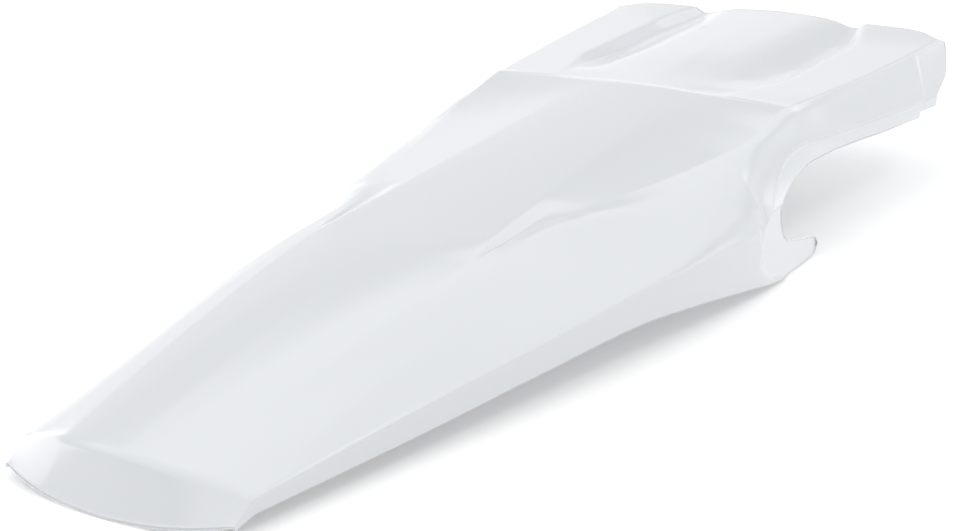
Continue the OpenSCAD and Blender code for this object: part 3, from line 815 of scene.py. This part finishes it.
@dataclass(frozen=True)
class GlossPolypropylene:
    """Injection-moulded polypropylene from a polished cavity, white with a trace of blue.

    The eye sees a clean soft gloss: wide reflections with slightly wavering edges, because the
    thick and thin zones of the moulding shrink unevenly as they cool, and a fine orange peel.
    """

    name: str = "gloss_white_polypropylene"
    colour: str = "#eaedf1"
    roughness: float = 0.16
    roughness_spread: float = 0.03
    sink_mm: float = 70.0
    sink_depth_mm: float = 0.05
    peel_mm: float = 1.6
    peel_depth_mm: float = 0.002
    glow: float = 0.06
    glow_mm: float = 2.0

    def build(self) -> bpy.types.Material:
        """Makes the Blender material.

        Returns:
            The finished material.
        """
        material = emptied(bpy.data.materials.new(self.name))
        place = add_node(material, "ShaderNodeTexCoord")
        cloud = add_node(material, "ShaderNodeTexNoise", {
            "Vector": place.outputs["Object"], "Scale": 1 / (self.sink_mm * MM), "Detail": 2.0,
            "Roughness": 0.4})
        matt = add_node(material, "ShaderNodeMapRange", {
            "Value": cloud.outputs["Fac"], "To Min": self.roughness - self.roughness_spread,
            "To Max": self.roughness + self.roughness_spread})
        peel = add_node(material, "ShaderNodeTexNoise", {
            "Vector": place.outputs["Object"], "Scale": 1 / (self.peel_mm * MM), "Detail": 1.0})
        sink = add_node(material, "ShaderNodeBump", {
            "Strength": 1.0, "Distance": self.sink_depth_mm * MM, "Height": cloud.outputs["Fac"]})
        skin = add_node(material, "ShaderNodeBump", {
            "Strength": 1.0, "Distance": self.peel_depth_mm * MM, "Height": peel.outputs["Fac"],
            "Normal": sink.outputs["Normal"]})
        shader = add_node(material, "ShaderNodeBsdfPrincipled", {
            "Base Color": linear_colour(self.colour), "IOR": IOR, "Metallic": 0.0,
            "Subsurface Weight": self.glow, "Subsurface Scale": self.glow_mm * MM,
            "Subsurface Radius": (1.0, 1.0, 1.0), "Roughness": matt.outputs["Result"],
            "Normal": skin.outputs["Normal"]})
        add_node(material, "ShaderNodeOutputMaterial", {"Surface": shader.outputs["BSDF"]})
        return material


@dataclass(frozen=True)
class FlangePaintedGlow(GlossPolypropylene):
    """The same moulding at its stepped flange, where it ends in an open edge.

    Its colour is painted a slightly lighter white than the wall above: a painted glow that
    stands in for light from the floor coming through the thin edge.
    """

    name: str = "flange_polypropylene_painted_glow"
    # painted glow: lighter than the wall's white, for light through the thin edge
    colour: str = "#f1f4f8"


@dataclass(frozen=True)
class GrainedPolypropylene:
    """The hidden face of the same moulding, from a spark-eroded core.

    The eye sees no clear reflection, only an even satin sheen over a fine pebbled grain.
    """

    name: str = "grained_white_polypropylene"
    colour: str = "#e6e9ee"
    roughness: float = 0.52
    roughness_spread: float = 0.06
    grain_mm: float = 0.9
    grain_depth_mm: float = 0.03

    def build(self) -> bpy.types.Material:
        """Makes the Blender material.

        Returns:
            The finished material.
        """
        material = emptied(bpy.data.materials.new(self.name))
        place = add_node(material, "ShaderNodeTexCoord")
        pebble = add_node(material, "ShaderNodeTexVoronoi", {
            "Vector": place.outputs["Object"], "Scale": 1 / (self.grain_mm * MM)})
        matt = add_node(material, "ShaderNodeMapRange", {
            "Value": pebble.outputs["Distance"], "To Min": self.roughness - self.roughness_spread,
            "To Max": self.roughness + self.roughness_spread})
        grain = add_node(material, "ShaderNodeBump", {
            "Strength": 1.0, "Distance": self.grain_depth_mm * MM,
            "Height": pebble.outputs["Distance"]})
        shader = add_node(material, "ShaderNodeBsdfPrincipled", {
            "Base Color": linear_colour(self.colour), "IOR": IOR, "Metallic": 0.0,
            "Roughness": matt.outputs["Result"], "Normal": grain.outputs["Normal"]})
        add_node(material, "ShaderNodeOutputMaterial", {"Surface": shader.outputs["BSDF"]})
        return material


def emptied(owner: bpy.types.ID) -> bpy.types.ID:
    """Switches a new material or world to nodes, with none in it yet."""
    owner.use_nodes = True
    owner.node_tree.nodes.clear()
    return owner


def add_node(owner: bpy.types.ID, kind: str, settings: dict | None = None) -> bpy.types.Node:
    """Adds a node, and gives its inputs a value or a link.

    Args:
        owner: the material or world that holds the node tree.
        kind: Blender's name for the node.
        settings: value or output socket for each input, by the input's name.

    Returns:
        The new node.
    """
    node = owner.node_tree.nodes.new(kind)
    for name, value in (settings or {}).items():
        if isinstance(value, bpy.types.NodeSocket):
            owner.node_tree.links.new(value, node.inputs[name])
        else:
            node.inputs[name].default_value = value
    return node


@dataclass
class Shell:
    """The moulded shell: show face, hidden face and the rounded rim between them."""

    sections: ShellSections
    name: str = "fender_shell"
    rim_round: float = 0.7
    rim_fullness: float = 2.5
    rim_steps: tuple[float, ...] = (0.1, 0.3, 0.5, 0.7, 0.9)

    def build(self, tail_end: float) -> bpy.types.Object:
        """Builds the shell's mesh.

        Args:
            tail_end: where the tail end lies along X, in metres.

        Returns:
            The shell's object, with smooth faces and the face kinds as material indices.
        """
        show = self.sections.surface(0)
        hidden = self.sections.surface(self.sections.wall)
        outward = self.rim_direction(show)
        inset = np.zeros(show.shape[:2])
        inset[0, :] = inset[-1, :] = self.rim_round
        show = show - outward * inset[..., None]
        hidden = hidden - outward * inset[..., None]
        hidden[..., 2] = np.maximum(hidden[..., 2], 0.0)
        rows, columns = show.shape[:2]
        grid = np.arange(rows * columns).reshape(rows, columns)
        loop = self.border(grid)
        points = [show.reshape(-1, 3), hidden.reshape(-1, 3)]
        outer_ring = show.reshape(-1, 3)[loop]
        inner_ring = hidden.reshape(-1, 3)[loop]
        push = outward.reshape(-1, 3)[loop]
        rings = [loop]
        count = 2 * rows * columns
        for t in self.rim_steps:
            bulge = self.rim_round * (1 - abs(2 * t - 1) ** self.rim_fullness)
            points.append(mix(outer_ring, inner_ring, t) + push * bulge)
            rings.append(np.arange(count, count + len(loop)))
            count += len(loop)
        rings.append(loop + rows * columns)
        quads = [self.quads(grid), self.quads(grid + rows * columns)[:, ::-1]]
        for a, b in zip(rings, rings[1:]):
            quads.append(np.stack([a, b, np.roll(b, -1), np.roll(a, -1)], -1))
        kinds = np.concatenate([self.show_kinds(rows, columns),
                                np.full(len(quads[1]), Face.HIDDEN.value),
                                np.full(sum(len(q) for q in quads[2:]), Face.SHOW.value)])
        place = np.concatenate(points)
        place[:, 2] = np.maximum(place[:, 2], 0)
        place = place * MM + [tail_end, 0, 0]
        return mesh_object(self.name, place, np.concatenate(quads), kinds)

    def show_kinds(self, rows: int, columns: int) -> Array:
        """Face kinds of the show face, with the stepped flange apart on its finish with painted
        glow.

        Args:
            rows: rows of points on the show face.
            columns: points in each row.

        Returns:
            A kind for each face, in the order of `quads`.
        """
        sections = self.sections
        stations = sections.stations()
        first = rows - len(stations) + int(np.searchsorted(stations, sections.lines.wrap_a + 1.5))
        half = (columns - 1) // 2
        steps = sections.flat_steps[:FLANGE_LINE] + sections.turn_steps[:FLANGE_LINE - 1]
        edge = half - sum(steps)
        kinds = np.full((rows - 1, columns - 1), Face.SHOW.value)
        # the flange gets the finish painted lighter for light through its thin edge
        kinds[first:, :edge] = kinds[first:, -edge:] = Face.FLANGE.value
        return kinds.reshape(-1)

    @staticmethod
    def quads(grid: Array) -> Array:
        """Faces of a grid of point numbers, with their normals to the show side."""
        return np.stack([grid[:-1, :-1], grid[1:, :-1], grid[1:, 1:], grid[:-1, 1:]],
                        -1).reshape(-1, 4)

    @staticmethod
    def border(grid: Array) -> Array:
        """Point numbers round the edge of a grid, in one turn."""
        return np.concatenate([grid[0, :-1], grid[:-1, -1], grid[-1, :0:-1], grid[:0:-1, 0]])

    @staticmethod
    def rim_direction(show: Array) -> Array:
        """Directions out over the rim, in the plane of the wall.

        Args:
            show: points of the show face.

        Returns:
            A unit step for each point on the border, and zero elsewhere.
        """
        out = np.zeros_like(show)
        out[0] += unit(show[0] - show[2])
        out[-1] += unit(show[-1] - show[-3])
        out[:, 0] += unit(show[:, 0] - show[:, 2])
        out[:, -1] += unit(show[:, -1] - show[:, -3])
        inside = np.zeros(show.shape[:2], bool)
        inside[1:-1, 1:-1] = True
        out = unit(out)
        out[inside] = 0
        return out


@dataclass(frozen=True)
class Boss:
    """A blind screw boss, moulded onto the hidden face."""

    name: str
    x: float
    y: float
    foot_z: float
    top_z: float
    outer_d: float = 15.0
    hole_d: float = 6.4
    roof: float = 3.0
    lip_round: float = 0.6
    # height of the first ring of faces under the top
    top_ring: float = 1.5
    turns: int = 48
    sharp_degrees: float = 40.0

    def profile(self) -> Array:
        """Half section of the boss, from the middle of the roof round to the blind hole.

        Returns:
            Pairs of radius and height.
        """
        outer, hole, r = self.outer_d / 2, self.hole_d / 2, self.lip_round
        quarter = np.linspace(0, math.pi / 2, 5)
        points = [(0.0, self.top_z), (outer, self.top_z), (outer, self.top_z - self.top_ring)]
        low = self.foot_z + r
        points += [(outer - r + r * math.cos(a), low - r * math.sin(a)) for a in quarter]
        points += [(hole + r - r * math.sin(a), low - r * math.cos(a)) for a in quarter]
        points += [(hole, self.top_z - self.roof), (0.0, self.top_z - self.roof)]
        return np.array(points)

    def build(self, tail_end: float) -> bpy.types.Object:
        """Builds the boss's mesh.

        Args:
            tail_end: where the tail end lies along X, in metres.

        Returns:
            The boss's object.
        """
        profile = self.profile()
        angles = np.linspace(0, 2 * math.pi, self.turns, endpoint=False)
        ring = coords(np.cos(angles), np.sin(angles))
        points = [np.concatenate([ring * r, np.full((self.turns, 1), z)], 1)
                  for r, z in profile[1:-1]]
        points += [np.array([[0, 0, profile[0][1]], [0, 0, profile[-1][1]]])]
        place = (np.concatenate(points) + [self.x, self.y, 0]) * MM + [tail_end, 0, 0]
        steps = np.arange(len(profile) - 2)[:, None] * self.turns + np.arange(self.turns)
        near, far = steps[:-1], steps[1:]
        faces = np.stack([near, far, np.roll(far, -1, 1), np.roll(near, -1, 1)], -1)
        faces = faces.reshape(-1, 4)[:, ::-1].tolist()
        roof, blind = len(place) - 2, len(place) - 1
        for k in range(self.turns):
            ahead = (k + 1) % self.turns
            faces.append([roof, steps[0, k], steps[0, ahead]])
            faces.append([blind, steps[-1, ahead], steps[-1, k]])
        return mesh_object(self.name, place, faces, np.full(len(faces), Face.HIDDEN.value),
                           self.sharp_degrees)


def mesh_object(name: str, points: Array, faces: Sequence, kinds: Array,
                sharp_degrees: float = 180) -> bpy.types.Object:
    """Makes an object from points and faces.

    Args:
        name: the object's name.
        points: places in metres.
        faces: point numbers of each face.
        kinds: material index of each face.
        sharp_degrees: edges that turn more than this are shaded sharp.

    Returns:
        The object, linked to the scene and shaded smooth.
    """
    mesh = bpy.data.meshes.new(name)
    mesh.from_pydata(np.asarray(points).tolist(), [], [list(map(int, f)) for f in faces])
    for finish in FINISHES:
        mesh.materials.append(finish)
    mesh.polygons.foreach_set("material_index", np.asarray(kinds, np.int32))
    mesh.validate()
    mesh.shade_smooth()
    if sharp_degrees < 180:
        mesh.set_sharp_from_angle(angle=math.radians(sharp_degrees))
    mesh.update()
    thing = bpy.data.objects.new(name, mesh)
    bpy.context.scene.collection.objects.link(thing)
    return thing


@dataclass(frozen=True)
class RearFender:
    """The whole moulding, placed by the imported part's box."""

    sections: ShellSections = ShellSections()
    rear_pair: float = 60.0
    rear_pair_x: float = 330.0
    rear_boss_z: float = 44.0
    front_pair: float = 40.0
    front_pair_x: float = 545.0
    front_boss_z: float = 54.0
    boss_d: float = 15.0
    # share of the wall that stays between a boss's top and the show face
    cover: float = 0.15

    def bosses(self) -> list[Boss]:
        """The two pairs of screw bosses."""
        pairs = [("rear", self.rear_pair_x, self.rear_pair, self.rear_boss_z),
                 ("front", self.front_pair_x, self.front_pair, self.front_boss_z)]
        made = []
        for label, x, spacing, foot in pairs:
            turn, r = np.linspace(0, 2 * math.pi, 12, endpoint=False), self.boss_d / 2
            skin = [self.sections.skin_z(x + r * math.cos(a), spacing / 2 + r * math.sin(a))
                    for a in turn]
            top = min(skin) - self.cover * self.sections.wall
            for side, sign in (("left", 1), ("right", -1)):
                made.append(Boss(f"screw_boss_{label}_{side}", x, sign * spacing / 2, foot, top,
                                 self.boss_d))
        return made

    def build(self) -> None:
        """Builds the shell and the bosses, and sets them on the frame."""
        tail_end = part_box(NODE)[0].x
        pieces = [Shell(self.sections).build(tail_end)]
        pieces += [boss.build(tail_end) for boss in self.bosses()]
        for piece in pieces:
            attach(piece, BODY)
            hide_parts(NODE)
            LOG.info("%s: %d faces", piece.name, len(piece.data.polygons))


@dataclass(frozen=True)
class Softbox:
    """A square studio lamp aimed at the part."""

    name: str
    place: tuple[float, float, float]
    size: tuple[float, float]
    power: float
    aim: tuple[float, float, float] = (0.0, 0.0, 0.04)

    def build(self) -> None:
        """Adds the lamp."""
        lamp = bpy.data.lights.new(self.name, "AREA")
        lamp.shape = "RECTANGLE"
        lamp.size, lamp.size_y = self.size
        lamp.energy = self.power
        thing = bpy.data.objects.new(self.name, lamp)
        thing.location = self.place
        toward = Vector(self.aim) - Vector(self.place)
        thing.rotation_euler = toward.to_track_quat("-Z", "Y").to_euler()
        bpy.context.scene.collection.objects.link(thing)


@dataclass(frozen=True)
class Studio:
    """Plain pale floor, white surround and soft lamps."""

    floor_half: float = 6.0
    floor_colour: str = "#f4f4f4"
    # light added to the floor where the camera sees it, and how many times that in reflections
    floor_lift: float = 0.3
    floor_gleam: float = 2.5
    surround: float = 0.68
    reflected: float = 1.6
    # share of the reflected white at each sine of the height above the horizon
    reflected_by_height: tuple[tuple[float, float], ...] = (
        (0.0, 0.75), (0.08, 0.75), (0.15, 0.6), (0.22, 0.69), (0.3, 0.69), (0.38, 0.42),
        (0.46, 0.4), (0.51, 0.2), (0.58, 0.15), (0.66, 1.0), (0.78, 1.0), (1.0, 1.0))

    def lamps(self) -> list[Softbox]:
        """The lamps, as placed round the part."""
        return [Softbox("overhead_lamp", (-0.1, 0.35, 1.9), (1.8, 1.4), 4.4),
                Softbox("right_lamp", (0.1, -1.1, 1.65), (1.2, 0.5), 3.7),
                Softbox("rear_lamp", (-1.5, 0.1, 0.55), (0.8, 0.4), 0.7),
                Softbox("left_lamp", (-0.2, 1.3, 0.45), (1.4, 0.4), 4.0),
                Softbox("corner_lamp", (1.45, -0.5, 0.92), (0.5, 0.35), 1.2, (0.0, -0.1, 0.03)),
                Softbox("front_right_lamp", (0.8, -1.0, 0.45), (0.6, 0.4), 0.8, (0.25, -0.1, 0.05))]

    def build(self) -> None:
        """Builds the floor, the surround and the lamps."""
        self.floor()
        self.world()
        for lamp in self.lamps():
            lamp.build()

    def floor(self) -> None:
        """A wide matt floor that the camera sees as white and that keeps the part's shadow."""
        half = self.floor_half
        mesh = bpy.data.meshes.new("floor")
        mesh.from_pydata([(-half, -half, 0), (half, -half, 0), (half, half, 0), (-half, half, 0)],
                         [], [(0, 1, 2, 3)])
        thing = bpy.data.objects.new("floor", mesh)
        bpy.context.scene.collection.objects.link(thing)
        material = emptied(bpy.data.materials.new("matt_white_floor"))
        paint = add_node(material, "ShaderNodeBsdfDiffuse",
                         {"Color": linear_colour(self.floor_colour)})
        path = add_node(material, "ShaderNodeLightPath")
        shiny = add_node(material, "ShaderNodeMath", {0: path.outputs["Is Glossy Ray"],
                                                      1: self.floor_gleam})
        shiny.operation = "MULTIPLY"
        seen = add_node(material, "ShaderNodeMath", {0: path.outputs["Is Camera Ray"],
                                                     1: shiny.outputs[0]})
        lift = add_node(material, "ShaderNodeMath", {0: seen.outputs[0], 1: self.floor_lift})
        lift.operation = "MULTIPLY"
        glow = add_node(material, "ShaderNodeEmission",
                        {"Color": WHITE, "Strength": lift.outputs[0]})
        both = add_node(material, "ShaderNodeAddShader", {0: paint.outputs[0], 1: glow.outputs[0]})
        add_node(material, "ShaderNodeOutputMaterial", {"Surface": both.outputs[0]})
        mesh.materials.append(material)

    def world(self) -> None:
        """White to the camera, banded by height in reflections, and a soft fill for all else."""
        world = emptied(bpy.data.worlds.new("studio"))
        path = add_node(world, "ShaderNodeLightPath")
        place = add_node(world, "ShaderNodeTexCoord")
        parts = add_node(world, "ShaderNodeSeparateXYZ", {0: place.outputs["Generated"]})
        bands = add_node(world, "ShaderNodeValToRGB", {"Fac": parts.outputs["Z"]})
        steps = bands.color_ramp.elements
        low, *between, high = self.reflected_by_height
        steps[0].color = (low[1], low[1], low[1], 1)
        steps[-1].color = (high[1], high[1], high[1], 1)
        for height, share in between:
            steps.new(height).color = (share, share, share, 1)
        plain = add_node(world, "ShaderNodeBackground", {"Color": WHITE, "Strength": self.surround})
        shiny = add_node(world, "ShaderNodeBackground", {"Color": bands.outputs["Color"],
                                                         "Strength": self.reflected})
        white = add_node(world, "ShaderNodeBackground", {"Color": WHITE, "Strength": 1.0})
        gloss = add_node(world, "ShaderNodeMixShader", {0: path.outputs["Is Glossy Ray"],
                                                        1: plain.outputs[0], 2: shiny.outputs[0]})
        last = add_node(world, "ShaderNodeMixShader", {0: path.outputs["Is Camera Ray"],
                                                       1: gloss.outputs[0], 2: white.outputs[0]})
        add_node(world, "ShaderNodeOutputWorld", {"Surface": last.outputs[0]})
        bpy.context.scene.world = world


@dataclass(frozen=True)
class ProductCamera:
    """Camera behind the part, to its right and above, as the photograph was taken."""

    place: tuple[float, float, float] = (-0.88825, -0.62982, 0.403988)
    right: tuple[float, float, float] = (0.570573, -0.819506, -0.053442)
    up: tuple[float, float, float] = (0.305499, 0.151395, 0.94008)
    lens: float = 85.8
    sensor: float = 36.0

    def build(self) -> None:
        """Adds the camera and makes it the scene's own."""
        data = bpy.data.cameras.new("product_camera")
        data.sensor_width = self.sensor
        data.lens = self.lens
        thing = bpy.data.objects.new("product_camera", data)
        right, up = Vector(self.right).normalized(), Vector(self.up)
        back = right.cross(up).normalized()
        up = back.cross(right)
        turn = Matrix((right, up, back)).transposed().to_4x4()
        thing.matrix_world = Matrix.Translation(self.place) @ turn
        bpy.context.scene.collection.objects.link(thing)
        bpy.context.scene.camera = thing


# the third finish is the flange's, painted lighter for light through its edge
FINISHES = [GlossPolypropylene().build(), GrainedPolypropylene().build(), FlangePaintedGlow().build()]


def main() -> None:
    """Builds the camera, the part and the studio in order."""
    logging.basicConfig(level=logging.INFO, format="%(message)s")
    bpy.context.scene.view_settings.view_transform = "Standard"
    ProductCamera().build()
    RearFender().build()
    Studio().build()


if __name__ == "__main__":
    main()
